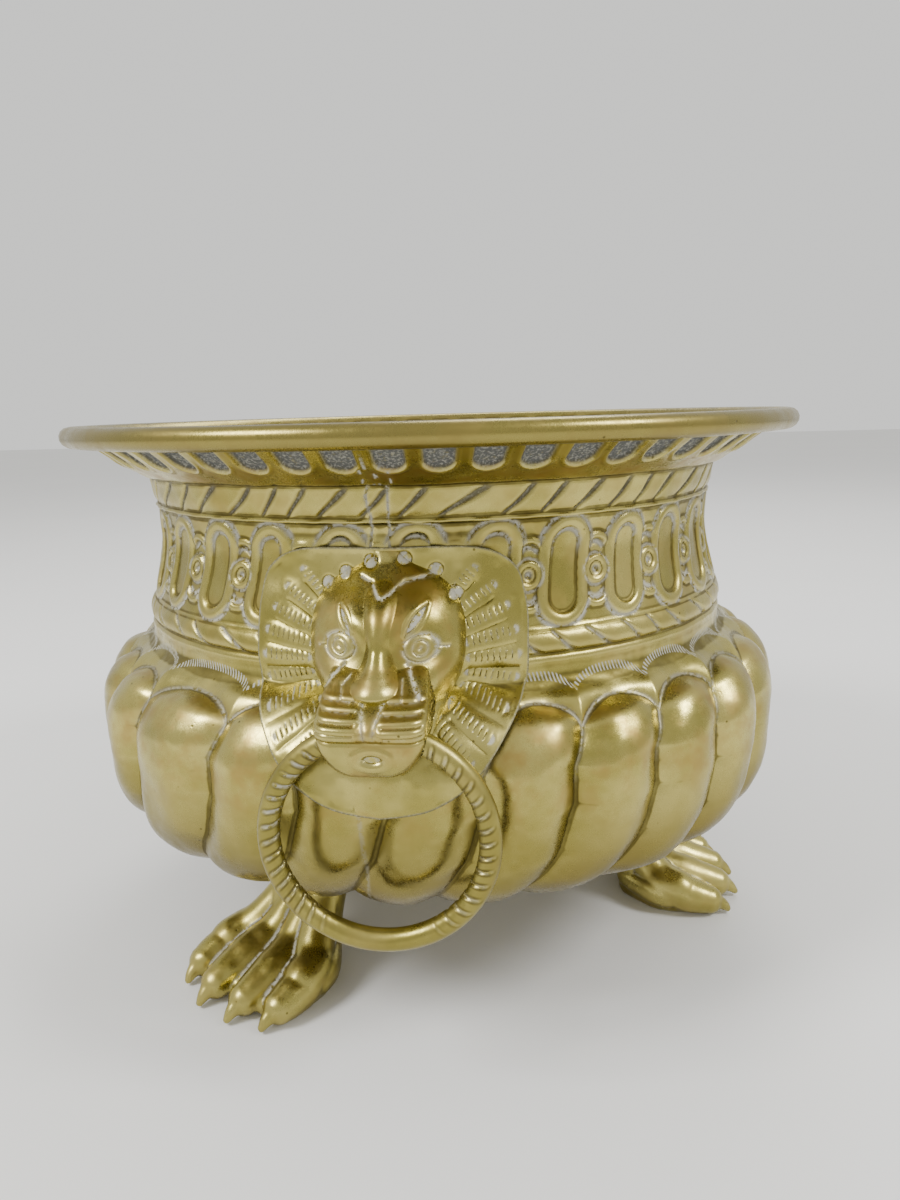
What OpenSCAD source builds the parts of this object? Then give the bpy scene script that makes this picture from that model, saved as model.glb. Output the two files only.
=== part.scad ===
// Footed brass planter pot: seamed sheet wall with a wired rim, base pan,
// two lion masks with ring handles, and three cast paw feet.
// The pot's axis is Z and the paws stand on Z = 0. The masks face -Y and +Y.

/* [Pot] */
// Diameter over the rolled rim
rim_d = 360; // [340:1:380]
// Overall height, floor to the top of the rim
pot_h = 260.5; // [250:0.5:275]
// Diameter of the waist below the rim
neck_d = 279; // [270:1:290]
// Diameter of the belly over its lobes
belly_d = 350; // [345:1:356]
// Height of the sheet floor above the surface it stands on
base_h = 46; // [42:1:50]
// Height of the shoulder, where the lobes end and the neck starts
shoulder_h = 160; // [156:1:164]
// Thickness of the sheet brass
sheet_t = 1.2; // [0.8:0.1:1.6]
// Diameter of the round seam between wall and base pan
pan_d = 140; // [120:2:150]

/* [Rim] */
// Outside diameter of the rolled edge
roll_d = 9.2; // [8:0.1:11]
// Gap between the roll and the iron wire inside it
wire_gap = 0.15; // [0:0.05:0.3]

/* [Ring handles] */
// Mean diameter of the ring
ring_d = 81; // [76:1:86]
// Diameter of the ring's bar
bar_d = 8.5; // [7:0.1:9]
// Distance of the ring's pivot line from the pot's axis
pivot_y = 181; // [180:0.5:183]
// Height of the ring's pivot line
pivot_h = 150.6; // [149:0.2:152]
// Distance between the two holes that the ring enters
pivot_span = 35; // [33:1:37]

/* [Masks] */
// Height of the mask plate's top edge
mask_top = 213; // [211:1:215]
// Height of the mask plate's lowest point
mask_low = 120; // [117:1:124]
// Width of the mask plate
mask_w = 106; // [100:1:110]
// How far the muzzle stands from the pot's axis
muzzle_y = 190.5; // [190:0.5:193]
// Diameter of the ring holes in the muzzle's sides
ring_hole_d = 11.6; // [11:0.1:12]

/* [Feet] */
// Turn of the three feet about the pot's axis
foot_turn = -3.6; // [-10:0.1:10]
// Distance of the longest claw tips from the pot's axis
claw_u = 164; // [160:1:168]
// Width of a paw across its outer toes
paw_w = 72; // [66:1:76]
// Diameter of the rivet that holds each foot
rivet_d = 5; // [4:0.5:6]

/* [Hidden] */
$fn = 96;

fit_gap = 0.1;
spline_steps = 3;
ball_fn = 20;
brass = "#a8924a";
cast_brass = "#b79f57";

rim_r = (rim_d - roll_d) / 2;
rim_z = pot_h - roll_d / 2;
neck_r = neck_d / 2;
belly_r = belly_d / 2;
pan_r = pan_d / 2;
roll_mid = (roll_d - sheet_t) / 2;
roll_start = 150;
roll_end = -120;
wire_r = roll_mid - sheet_t / 2 - wire_gap;

// Lobed belly: radius over belly_r, height over base-to-shoulder height
belly_curve = [
    [0.497, 0.026], [0.64, 0.088], [0.806, 0.171], [0.926, 0.268],
    [0.98, 0.395], [0.997, 0.56], [1, 0.72], [0.986, 0.816],
    [0.949, 0.895], [0.9, 0.952], [0.852, 0.987]
];
// Neck: growth over the waist radius, height over shoulder-to-rim height
neck_curve = [
    [7.5, 0.04], [8.2, 0.12], [6.2, 0.21], [2.6, 0.34], [0.2, 0.47],
    [0.3, 0.58], [1.6, 0.7], [3.2, 0.77]
];
// Flare: outward and down from the rim's centre
flare_curve = [[-28, -17.3], [-20.5, -12.8], [-13.4, -7.8], [-7.6, -3.2]];

belly_span = shoulder_h - base_h;
neck_span = rim_z - shoulder_h;
roll_points = [for (a = [roll_start : -15 : roll_end])
    [rim_r + roll_mid * cos(a), rim_z + roll_mid * sin(a)]];
wall_path = concat(
    smooth(concat(
        [[pan_r, base_h + 1]],
        [for (p = belly_curve) [p[0] * belly_r, base_h + p[1] * belly_span]],
        [for (p = neck_curve) [neck_r + p[0], shoulder_h + p[1] * neck_span]],
        [for (p = flare_curve) [rim_r + p[0], rim_z + p[1]]],
        [roll_points[0]])),
    [for (i = [1 : len(roll_points) - 1]) roll_points[i]]);
pan_path = smooth([[0, base_h], [pan_r / 2, base_h + 0.2], [pan_r, base_h + 1]]);

// Ring geometry: the ring crosses its two holes a little below its top
ring_r = ring_d / 2;
bar_r = bar_d / 2;
ring_drop = sqrt(ring_r * ring_r - pivot_span * pivot_span / 4);

// Face swell: balls [distance from the pot's axis, across, height, radius]
lip_r = 4.5;
lip_side = pivot_span / 2 + 0.5 - lip_r;
face_balls = [
    [muzzle_y - lip_r, lip_side, pivot_h + 6, lip_r],
    [muzzle_y - lip_r, lip_side, pivot_h - 6, lip_r],
    [160, 20, 170, 7],
    [155, 20, 186, 7],
    [148, 12, 196, 7]
];
face_back = 130;
hole_span = pivot_span + 20;

// Paw, pointing along +X: balls [distance from the pot's axis, across, height, radius]
knuckle_u = claw_u - 33;
toe_r = 10;
toe_side = paw_w / 2 - toe_r;
ankle_balls = [[90, 11, 54, 9], [101, 11, 54, 9], [103, 15, 22, 9], [114, 15, 20, 9]];
sole_balls = [[114, 19, 4, 8], [106, 14, 20, 8], [knuckle_u, 0.9 * toe_side, 8, 8.2]];
// Toes: [share of the outer toe's offset, how far the claw is short of the longest]
toes = [[-1, 6], [-0.36, 0], [0.36, 0], [1, 6]];

// Rivets, square to the belly where they pass through it
rivet_r = rivet_d / 2;
rivet_u = 94;
rivet_tilt = 15;
rivet_h = base_h + 5.6;
rivet_head_r = rivet_r * 2.2;
rivet_tail_r = rivet_r * 1.6;
rivet_tail_h = 1.6;
head_gap = 1.4;
head_h = 2;
// Metal left above the foot's core, and the length of shank below it
web_t = 7;
tail_out = 2;
// Core: opened from the sole, narrowing to the rivet's tail
core_u = 112;
core_r = 12;
core_top_r = 8;

function spline_at(a, b, c, d, t) = 0.5 * (2 * b + (c - a) * t
    + (2 * a - 5 * b + 4 * c - d) * t * t
    + (3 * b - a - 3 * c + d) * t * t * t);

function smooth(p) = concat(
    [for (i = [0 : len(p) - 2]) for (s = [0 : spline_steps - 1])
        spline_at(p[max(i - 1, 0)], p[i], p[i + 1], p[min(i + 2, len(p) - 1)],
                  s / spline_steps)],
    [p[len(p) - 1]]);

function heading(p, i) = let (d = p[min(i + 1, len(p) - 1)] - p[max(i - 1, 0)])
    d / norm(d);

// The path moved sideways: positive is to the right of its heading
function beside(p, d) = [for (i = [0 : len(p) - 1])
    let (h = heading(p, i)) p[i] + d * [h[1], -h[0]]];

function reversed(p) = [for (i = [len(p) - 1 : -1 : 0]) p[i]];

// A sheet of thickness t centred on a path
module sheet_outline(p, t) {
    polygon(concat(beside(p, t / 2), reversed(beside(p, -t / 2))));
}

// Everything inside the wall's outer face, grown by g
module pot_solid(g) {
    belly = [for (q = beside(wall_path, sheet_t / 2 + g)) if (q[1] < rim_z - 8) q];
    rotate_extrude()
        polygon(concat([[0, base_h - sheet_t / 2 - g]], belly, [[0, rim_z - 8]]));
}

module body_wall() {
    color(brass) difference() {
        rotate_extrude() sheet_outline(wall_path, sheet_t);
        each_foot() rivet_shank(rivet_r + fit_gap);
    }
}

module base_pan() {
    color(brass) rotate_extrude() intersection() {
        sheet_outline(pan_path, sheet_t);
        square([pan_r + sheet_t, pot_h]);
    }
}

module rim_wire() {
    color("#6b5a4a") rotate_extrude()
        translate([rim_r, rim_z]) circle(wire_r, $fn = 32);
}

// Outline of the mask plate, seen from the front
module mask_outline() {
    half = mask_w / 2;
    side_pts = [[0.62 * half, mask_top], [0.89 * half, mask_top - 7],
                [0.98 * half, mask_top - 20], [half, mask_top - 35],
                [0.98 * half, mask_top - 53], [0.84 * half, mask_top - 67],
                [0.62 * half, mask_top - 81], [0.34 * half, mask_low + 3]];
    curve = smooth(concat([[0, mask_top + 0.5]], side_pts, [[0, mask_low]]));
    polygon(concat(curve, reversed([for (q = curve) if (q[0] > 0) [-q[0], q[1]]])));
}

// Convex swell of the face, with its surface moved in by t
module face_swell(t) {
    hull() for (b = face_balls, side = [-1, 1], y = [b[0], face_back])
        translate([side * b[1], -y, b[2]]) sphere(b[3] - t, $fn = 24);
}

// Repousse mask facing -Y: a plate that follows the wall and a hollow face
module mask() {
    color(cast_brass) difference() {
        union() {
            intersection() {
                difference() {
                    pot_solid(fit_gap + sheet_t);
                    pot_solid(fit_gap);
                }
                rotate([90, 0, 0]) linear_extrude(height = rim_r) mask_outline();
            }
            difference() {
                face_swell(0);
                pot_solid(fit_gap);
            }
        }
        face_swell(sheet_t);
        translate([0, -pivot_y, pivot_h]) rotate([0, 90, 0])
            cylinder(h = hole_span, r = ring_hole_d / 2, center = true);
    }
}

module mask_front() { mask(); }
module mask_back() { rotate([0, 0, 180]) mask(); }

// Closed ring of round bar hanging from its pivot line
module ring() {
    color(brass) translate([0, -pivot_y, pivot_h - ring_drop]) rotate([90, 0, 0])
        rotate_extrude() translate([ring_r, 0]) circle(bar_r, $fn = 48);
}

module ring_front() { ring(); }
module ring_back() { rotate([0, 0, 180]) ring(); }

module each_foot() {
    for (k = [0 : 2]) rotate([0, 0, 120 * k + foot_turn]) children();
}

module at_rivet() {
    translate([rivet_u, 0, rivet_h]) rotate([0, -rivet_tilt, 0]) children();
}

module rivet_shank(r) {
    at_rivet() translate([0, 0, -web_t - tail_out])
        cylinder(h = web_t + tail_out + 3, r = r);
}

// Hull of a list of balls and of their mirror images
module both_sides(balls) {
    hull() for (b = balls, side = [-1, 1])
        translate([b[0], side * b[1], b[2]]) sphere(b[3], $fn = ball_fn);
}

// One toe at offset v, whose claw tip is short of the longest by this much
module toe(v, short) {
    hull() {
        translate([knuckle_u, v, toe_r - 0.7]) sphere(toe_r, $fn = ball_fn);
        translate([knuckle_u + 14 - short / 2, 1.02 * v, 7.5])
            sphere(0.8 * toe_r, $fn = ball_fn);
        translate([claw_u - 3 - short, 1.06 * v, 3]) sphere(3, $fn = ball_fn);
    }
}

// Opening from the sole, where the rivet's tail is peened over
module core() {
    hull() {
        at_rivet() translate([0, 0, -web_t - tail_out - 2])
            cylinder(h = 2, r = core_top_r, $fn = 24);
        translate([core_u, 0, -1]) cylinder(h = 2, r = core_r, $fn = 24);
    }
}

module paw() {
    color(cast_brass) difference() {
        union() {
            both_sides(ankle_balls);
            both_sides(sole_balls);
            for (t = toes) toe(t[0] * toe_side, t[1]);
        }
        translate([0, -pot_h / 2, -20]) cube([rim_d, pot_h, 20]);
        pot_solid(fit_gap);
        rivet_shank(rivet_r + fit_gap);
        core();
    }
}

module paw_at(k) { rotate([0, 0, 120 * k + foot_turn]) paw(); }

module foot_right() { paw_at(0); }
module foot_rear() { paw_at(1); }
module foot_front() { paw_at(2); }

// Head inside the pot, tail peened inside the foot
module rivet() {
    at_rivet() {
        translate([0, 0, -web_t - tail_out]) cylinder(h = web_t + tail_out + 2, r = rivet_r);
        translate([0, 0, head_gap]) cylinder(h = head_h, r1 = rivet_head_r, r2 = rivet_r);
        translate([0, 0, -web_t - tail_out - rivet_tail_h])
            cylinder(h = rivet_tail_h, r = rivet_tail_r);
    }
}

module foot_rivets() { color("#94803f") each_foot() rivet(); }

body_wall();
base_pan();
rim_wire();
mask_front();
mask_back();
ring_front();
ring_back();
foot_right();
foot_rear();
foot_front();
foot_rivets();
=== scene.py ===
"""Looks of a footed brass planter pot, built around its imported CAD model.

Lengths are millimetres until a mesh is made, and angles are degrees about the pot's
axis, Z, counted from +X. The sheet wall, lion masks, rings, paws and pan are new
meshes that stand for the CAD nodes; the wire and the rivets keep their CAD shape.
"""
import math
import bpy
import numpy as np
from mathutils import Matrix, Vector


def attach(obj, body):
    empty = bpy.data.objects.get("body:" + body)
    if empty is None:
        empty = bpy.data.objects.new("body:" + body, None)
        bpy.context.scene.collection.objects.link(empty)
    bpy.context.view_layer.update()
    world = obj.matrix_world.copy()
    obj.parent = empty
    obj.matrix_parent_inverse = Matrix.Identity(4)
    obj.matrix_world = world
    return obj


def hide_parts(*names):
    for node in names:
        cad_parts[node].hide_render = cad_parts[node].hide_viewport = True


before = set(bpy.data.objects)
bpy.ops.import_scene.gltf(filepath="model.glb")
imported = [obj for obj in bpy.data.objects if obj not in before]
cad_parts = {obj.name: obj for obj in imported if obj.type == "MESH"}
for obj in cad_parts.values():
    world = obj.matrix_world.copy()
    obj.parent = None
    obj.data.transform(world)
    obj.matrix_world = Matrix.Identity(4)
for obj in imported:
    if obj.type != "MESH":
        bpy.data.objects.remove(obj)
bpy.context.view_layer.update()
MM = 0.001

# Sizes repeated from the CAD model. Z and H are heights, R are radii
RIM_R = 175.4
RIM_Z = 255.9
NECK_R = 139.5
BELLY_R = 175
BASE_H = 46
SHOULDER_H = 160
PAN_R = 70
PAN_FLAT_R = 35
SHEET = 1.2
ROLL_MID = 4.0
ROLL_START = 150
ROLL_END = -120
GAP = 0.1
PIVOT_Y = 181
PIVOT_H = 150.6
RING_R = 40.5
BAR_R = 4.25
RING_DROP = 36.53
HOLE_R = 5.8
HOLE_SIDE = 9
MASK_TOP = 213.5
MASK_LOW = 120
MASK_HALF = 53
FOOT_TURN = -3.6
FOOT_NAMES = ["foot_right", "foot_rear", "foot_front"]

# The wall's profile: parts of a curve's size for the belly, radius past the neck's and part
# of its height for the neck, and distances from the roll's centre for the flare
BELLY_CURVE = [
    [0.497, 0.026], [0.64, 0.088], [0.806, 0.171], [0.926, 0.268],
    [0.98, 0.395], [0.997, 0.56], [1, 0.72], [0.986, 0.816],
    [0.949, 0.895], [0.9, 0.952], [0.852, 0.987],
]
NECK_CURVE = [
    [7.5, 0.04], [8.2, 0.12], [6.2, 0.21], [2.6, 0.34], [0.2, 0.47],
    [0.3, 0.58], [1.6, 0.7], [3.2, 0.77],
]
FLARE_CURVE = [[-28, -17.3], [-20.5, -12.8], [-13.4, -7.8], [-7.6, -3.2]]

# Mesh density: columns round the pot, row spacing up each part of the wall, and the number
# of outer rows to one inner row
COLUMNS = 1440
BELLY_STEP = 1.1
NECK_STEP = 0.7
ROLL_STEP = 0.6
INNER_SKIP = 3


def smoothstep(x, low, high):
    """0 below low, 1 above high, and smooth between them; low may be above high."""
    t = np.clip((x - low) / (high - low), 0, 1)
    return t * t * (3 - 2 * t)


def bell(x, width):
    """1 at x = 0, falling away over about width."""
    return np.exp(-((x / width) ** 2))


def smooth_max(a, b, blend):
    """The larger of a and b, with a fillet about blend wide."""
    near = np.maximum(blend - np.abs(a - b), 0) / blend
    return np.maximum(a, b) + near * near * blend / 4


def noise(points, size, seed):
    """Smooth noise from -1 to 1 in lumps about size across."""
    spot = points / size + seed * 7.31
    cell = np.floor(spot).astype(np.int64)
    part = spot - cell
    part = part * part * (3 - 2 * part)
    total = np.zeros(points.shape[:-1])
    for corner in np.ndindex(2, 2, 2):
        at = cell + corner
        mixed = at[..., 0] * 73856093 ^ at[..., 1] * 19349663 ^ at[..., 2] * 83492791
        mixed = (mixed + seed * 961748927) & 0x7FFFFFFF
        mixed = (mixed * 1103515245 + 12345) & 0x7FFFFFFF
        mixed = (mixed ^ (mixed >> 13)) & 0xFFFF
        weight = 1
        for axis in range(3):
            weight = weight * (part[..., axis] if corner[axis] else 1 - part[..., axis])
        total += weight * (mixed / 32767.5 - 1)
    return total


def spline(points, steps):
    """Catmull-Rom curve through points, as in the CAD model."""
    p = np.array(points, float)
    p = np.concatenate([p[:1], p, p[-1:]])
    t = (np.arange(steps) / steps)[:, None]
    pieces = []
    for a, b, c, d in zip(p, p[1:], p[2:], p[3:]):
        bend = 2 * a - 5 * b + 4 * c - d
        pieces.append(0.5 * (2 * b + (c - a) * t + bend * t * t + (3 * b - a - 3 * c + d) * t**3))
    return np.concatenate(pieces + [p[-1:]])


def curve(knots, x):
    """Smooth value at x of a curve through knots [x, value], in either order of x."""
    path = spline(knots, 8)
    path = path[np.argsort(path[:, 0], kind="stable")]
    return np.interp(x, path[:, 0], path[:, 1])


def straight(knots, x):
    """Value at x of straight lines between knots [x, value]."""
    path = np.array(knots, float)
    return np.interp(x, path[:, 0], path[:, 1])


def segment_distance(x, z, start, end):
    """Distance from the segment, and how far along it, from 0 to 1."""
    dx, dz = end[0] - start[0], end[1] - start[1]
    along = np.clip(((x - start[0]) * dx + (z - start[1]) * dz) / (dx * dx + dz * dz), 0, 1)
    return np.hypot(x - start[0] - along * dx, z - start[1] - along * dz), along


# ------ meshes
def quads(rows, columns, wrap_rows, wrap_columns):
    """Corner indices of the quads of a grid, row by row."""
    i = np.arange(rows if wrap_rows else rows - 1)[:, None]
    j = np.arange(columns if wrap_columns else columns - 1)[None, :]
    up, right = (i + 1) % rows, (j + 1) % columns
    corners = [i * columns + j, i * columns + right, up * columns + right, up * columns + j]
    return np.stack(corners, axis=-1).reshape(-1, 4)


def mesh_object(name, points, faces, triangles=None):
    """A smooth-shaded mesh object from points in millimetres, quads and triangles."""
    mesh = bpy.data.meshes.new(name)
    mesh.vertices.add(len(points))
    mesh.vertices.foreach_set("co", (points * MM).astype(np.float32).ravel())
    loops = [faces.ravel()]
    starts = [np.arange(len(faces)) * 4]
    if triangles is not None:
        loops.append(triangles.ravel())
        starts.append(len(faces) * 4 + np.arange(len(triangles)) * 3)
    loops, starts = np.concatenate(loops), np.concatenate(starts)
    mesh.loops.add(len(loops))
    mesh.loops.foreach_set("vertex_index", loops.astype(np.int32))
    mesh.polygons.add(len(starts))
    mesh.polygons.foreach_set("loop_start", starts.astype(np.int32))
    mesh.polygons.foreach_set("use_smooth", np.ones(len(starts), bool))
    mesh.update(calc_edges=True)
    mesh.validate()
    obj = bpy.data.objects.new(name, mesh)
    bpy.context.scene.collection.objects.link(obj)
    return obj


def store(obj, name, values):
    """Keeps one number per vertex for the materials to read."""
    layer = obj.data.attributes.new(name, "FLOAT", "POINT")
    layer.data.foreach_set("value", np.asarray(values, np.float32).ravel())


def vertices(obj):
    """The mesh's points in millimetres."""
    co = np.zeros(len(obj.data.vertices) * 3, np.float32)
    obj.data.vertices.foreach_get("co", co)
    return co.reshape(-1, 3).astype(float) / MM


def set_vertices(obj, points):
    """Moves the mesh's points to these, in millimetres."""
    obj.data.vertices.foreach_set("co", (points * MM).astype(np.float32).ravel())
    obj.data.update()


def neighbour_mean(obj, values, passes):
    """Values averaged over each vertex and its neighbours, passes times."""
    edges = np.zeros(len(obj.data.edges) * 2, np.int32)
    obj.data.edges.foreach_get("vertices", edges)
    a, b = edges[::2], edges[1::2]
    size = len(values)
    count = 1 + np.bincount(a, minlength=size) + np.bincount(b, minlength=size)
    for _ in range(passes):
        moved = []
        for column in values.T:
            near = np.bincount(a, column[b], size) + np.bincount(b, column[a], size)
            moved.append((column + near) / count)
        values = np.stack(moved, axis=1)
    return values


def store_hollows(obj, passes, scale):
    """Keeps and returns attribute hollow: 1 deep in a groove, -1 on a ridge."""
    points = vertices(obj)
    normals = np.zeros(len(points) * 3, np.float32)
    obj.data.vertices.foreach_get("normal", normals)
    gap = neighbour_mean(obj, points, passes) - points
    rise = (gap * normals.reshape(-1, 3)).sum(axis=1)
    hollow = np.clip(rise / scale, -1, 1)
    store(obj, "hollow", hollow)
    return hollow


def store_finish(obj, patina, residue=0):
    """The rest of what the brass reads, as one value or one for each vertex."""
    nothing = np.zeros(len(obj.data.vertices))
    store(obj, "patina", nothing + patina)
    store(obj, "residue", nothing + residue)
    store(obj, "dark_fill_and_shade", nothing)


def use_modifiers(obj):
    """Turns the object's modifiers into its mesh."""
    depsgraph = bpy.context.evaluated_depsgraph_get()
    made = bpy.data.meshes.new_from_object(obj.evaluated_get(depsgraph))
    obj.modifiers.clear()
    obj.data = made
    obj.data.shade_smooth()


def turned_copy(obj, name, angle):
    """A copy of the piece, turned about the pot's axis."""
    copy = bpy.data.objects.new(name, obj.data.copy())
    copy.data.transform(Matrix.Rotation(math.radians(angle), 4, "Z"))
    bpy.context.scene.collection.objects.link(copy)
    return copy


def place(obj, body, nodes, slot, material):
    """Hands the finished piece to the frame."""
    obj.data.materials.clear()
    obj.data.materials.append(material)
    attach(obj, body)
    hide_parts(*nodes)


def finish_cad_node(node, material):
    """Gives its material to a CAD node that keeps its shape."""
    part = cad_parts[node]
    part.data.materials.clear()
    part.data.materials.append(material)


# ------ materials
class Nodes:
    """Short calls for building one material's node tree."""

    # Places of the colour sockets among the Mix node's sockets
    FACTOR, COLOUR_A, COLOUR_B, COLOUR_OUT = 0, 6, 7, 2

    def __init__(self, name):
        self.material = bpy.data.materials.new(name)
        self.material.use_nodes = True
        self.tree = self.material.node_tree
        self.shader = self.tree.nodes["Principled BSDF"]
        self.place = self.add("ShaderNodeTexCoord", {}).outputs["Object"]

    def add(self, kind, inputs, **settings):
        """A new node with these inputs and settings."""
        node = self.tree.nodes.new(kind)
        for key, value in settings.items():
            setattr(node, key, value)
        for key, value in inputs.items():
            self.feed(node.inputs[key], value)
        return node

    def feed(self, socket, value):
        """Links the socket to another one, or sets its value."""
        if isinstance(value, bpy.types.NodeSocket):
            self.tree.links.new(value, socket)
        else:
            socket.default_value = value

    def put(self, name, value):
        """Feeds one of the shader's own sockets."""
        self.feed(self.shader.inputs[name], value)

    def bump(self, strength, distance, height):
        """Gives the surface its fine height, distance being the height of 1 in metres."""
        values = {"Strength": strength, "Distance": distance, "Height": height}
        self.put("Normal", self.add("ShaderNodeBump", values).outputs[0])

    def math(self, kind, a, b=0.0, clamp=False):
        """One sum or function of a and b."""
        node = self.add("ShaderNodeMath", {0: a, 1: b}, operation=kind, use_clamp=clamp)
        return node.outputs[0]

    def ramp(self, value, low, high, out_low=0.0, out_high=1.0):
        """Smooth change from out_low to out_high as value goes from low to high."""
        ends = {"Value": value, "From Min": low, "From Max": high,
                "To Min": out_low, "To Max": out_high}
        node = self.add("ShaderNodeMapRange", ends, interpolation_type="SMOOTHSTEP")
        return node.outputs["Result"]

    def mix(self, amount, a, b):
        """Colour a at amount 0, and b at 1."""
        node = self.add("ShaderNodeMix", {}, data_type="RGBA")
        for place, value in ((self.FACTOR, amount), (self.COLOUR_A, a), (self.COLOUR_B, b)):
            self.feed(node.inputs[place], value)
        return node.outputs[self.COLOUR_OUT]

    def attribute(self, name):
        """One of the numbers kept per vertex."""
        node = self.add("ShaderNodeAttribute", {}, attribute_name=name)
        return node.outputs["Fac"]

    def noise(self, scale, detail=3.0, rough=0.55, stretch=(1.0, 1.0, 1.0)):
        """Smooth noise, from 0 to 1; scale is in lumps to a metre."""
        place = self.place
        if stretch != (1.0, 1.0, 1.0):
            place = self.add("ShaderNodeMapping", {"Vector": place, "Scale": stretch}).outputs[0]
        values = {"Vector": place, "Scale": scale, "Detail": detail, "Roughness": rough}
        return self.add("ShaderNodeTexNoise", values).outputs["Fac"]


# Colours of the metal, its patina, the dirt and painted shade in hollows, the painted dark reflection
# low down, the dark grey fill, and the dry polish left in hollows
OLIVE = (0.285, 0.245, 0.060, 1)
YELLOW = (0.455, 0.395, 0.125, 1)
ORANGE = (0.325, 0.205, 0.055, 1)
REFLECTION_BROWN = (0.135, 0.100, 0.026, 1)
SHADE = (0.075, 0.058, 0.014, 1)
RESIDUE = (0.46, 0.45, 0.38, 1)
SLATE_AND_SHADE = (0.085, 0.088, 0.085, 1)
IRON = (0.07, 0.062, 0.055, 1)
RUST = (0.17, 0.07, 0.03, 1)

# Texture scales
PATCHES = 22.0
PIT_AREAS = 45.0
CLOUDS = 70.0
PITS = 160.0
RUST_SPOTS = 300.0
SPECKLE = 420.0
GRAIN = 900.0
SCRATCHES = 1600.0
FINE_GRAIN = 3200.0


def aged_brass(name, chased=False, shine=0.27, orange=0.5):
    """Old polished brass: olive and yellow patches, orange patina, dirt with painted shade and polish
    residue in the hollows, ridges worn bright with a painted highlight, a painted dark reflection low
    down, dark grey fill partly painted shade, pits and fine scratches."""
    n = Nodes(name)
    hollow = n.attribute("hollow")
    patina = n.attribute("patina")
    residue = n.attribute("residue")
    dark_fill_and_shade = n.attribute("dark_fill_and_shade")

    patches = n.noise(PATCHES, 4.0)
    cloud = n.noise(CLOUDS, 4.0, 0.6)
    grain = n.noise(GRAIN, 3.0, 0.65)
    fine = n.noise(FINE_GRAIN, 2.0, 0.6)
    colour = n.mix(n.ramp(patches, 0.36, 0.66), OLIVE, YELLOW)
    tint = n.math("MULTIPLY", n.ramp(cloud, 0.38, 0.7), patina)
    colour = n.mix(n.math("MULTIPLY", tint, orange, clamp=True), colour, ORANGE)
    # Ridges lightened towards yellow: worn bright, and a painted highlight
    rubbed_and_highlit = n.ramp(hollow, -0.05, -0.6)
    colour = n.mix(n.math("MULTIPLY", rubbed_and_highlit, 0.45), colour, YELLOW)

    # Painted dark reflection darkens the underside, and painted shade the inside; dirt and painted
    # shade darken the hollows, and dry polish turns some of them grey
    dark_reflection = n.math("MULTIPLY", n.attribute("painted_shade_and_reflection"), n.ramp(patches, 0.3, 0.6, 0.6, 0.95))
    colour = n.mix(dark_reflection, colour, REFLECTION_BROWN)
    # Dirt and painted shade: the hollows darkened towards SHADE
    grime_and_shade = n.math("MULTIPLY", n.ramp(hollow, 0.05, 0.5), n.ramp(cloud, 0.2, 0.6, 0.5, 1.0))
    colour = n.mix(n.math("MULTIPLY", grime_and_shade, 0.8), colour, SHADE)
    speckle = n.noise(SPECKLE, 3.0, 0.7)
    dry = n.math("MULTIPLY", residue, n.ramp(speckle, 0.36, 0.52), clamp=True)
    if chased:
        dry = n.math("MAXIMUM", dry, chased_strokes(n, speckle))
    colour = n.mix(dry, colour, RESIDUE)
    # Dark grey fill, partly painted shade: in the upper rope's grooves, the dents under the roll and
    # along the mask's edge
    fill = n.math("MULTIPLY", dark_fill_and_shade, n.ramp(speckle, 0.25, 0.45, 0.55, 1.0), clamp=True)
    grey = n.mix(n.ramp(grain, 0.46, 0.66, 0.0, 0.55), SLATE_AND_SHADE, RESIDUE)
    colour = n.mix(fill, colour, grey)
    cells = n.add("ShaderNodeTexVoronoi", {"Vector": n.place, "Scale": PITS})
    pit = n.ramp(cells.outputs["Distance"], 0.11, 0.05)
    pit = n.math("MULTIPLY", pit, n.ramp(n.noise(PIT_AREAS), 0.52, 0.62))
    colour = n.mix(n.math("MULTIPLY", pit, 0.8), colour, SHADE)
    n.put("Base Color", colour)

    # Dry and grey spots aren't metal, and grime is duller than clean brass
    dull = n.math("MAXIMUM", dry, fill)
    n.put("Metallic", n.ramp(dull, 0.0, 1.0, 1.0, 0.12))
    smear = n.ramp(cloud, 0.25, 0.75, shine - 0.07, shine + 0.10)
    smear = n.math("ADD", smear, n.ramp(grain, 0.3, 0.7, -0.03, 0.05))
    smear = n.math("ADD", smear, n.math("MULTIPLY", grime_and_shade, 0.2))
    smear = n.math("MAXIMUM", smear, n.ramp(dull, 0.1, 0.8, 0.1, 0.85))
    n.put("Roughness", smear)

    # Fine height: grain and scratches, pits, and the roughness of the dry spots
    scratches = n.noise(SCRATCHES, 2.0, 0.7, stretch=(1.0, 1.0, 0.12))
    height = n.math("MULTIPLY", n.math("ADD", grain, scratches), 0.5)
    height = n.math("SUBTRACT", height, n.math("MULTIPLY", pit, 1.5))
    crumbs = n.math("MULTIPLY", dull, n.ramp(fine, 0.3, 0.7, 0.4, 1.6))
    height = n.math("SUBTRACT", height, crumbs)
    n.bump(0.35, 0.00012, height)
    return n.material


def chased_strokes(n, speckle):
    """Rows of short punched strokes, filled with dry polish, along the wall's scallops."""
    axes = n.add("ShaderNodeSeparateXYZ", {"Vector": n.place})
    angle = n.math("ARCTAN2", axes.outputs["Y"], axes.outputs["X"])
    row = n.attribute("chase")
    lean = n.math("MULTIPLY", row, 1.1)
    wave = n.math("SINE", n.math("ADD", n.math("MULTIPLY", angle, 560.0), lean))
    stroke = n.ramp(wave, -0.1, 0.6)
    stroke = n.math("MULTIPLY", stroke, n.ramp(n.math("ABSOLUTE", row), 1.9, 1.3))
    return n.math("MULTIPLY", stroke, n.ramp(speckle, 0.3, 0.5, 0.25, 1.0))


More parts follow.
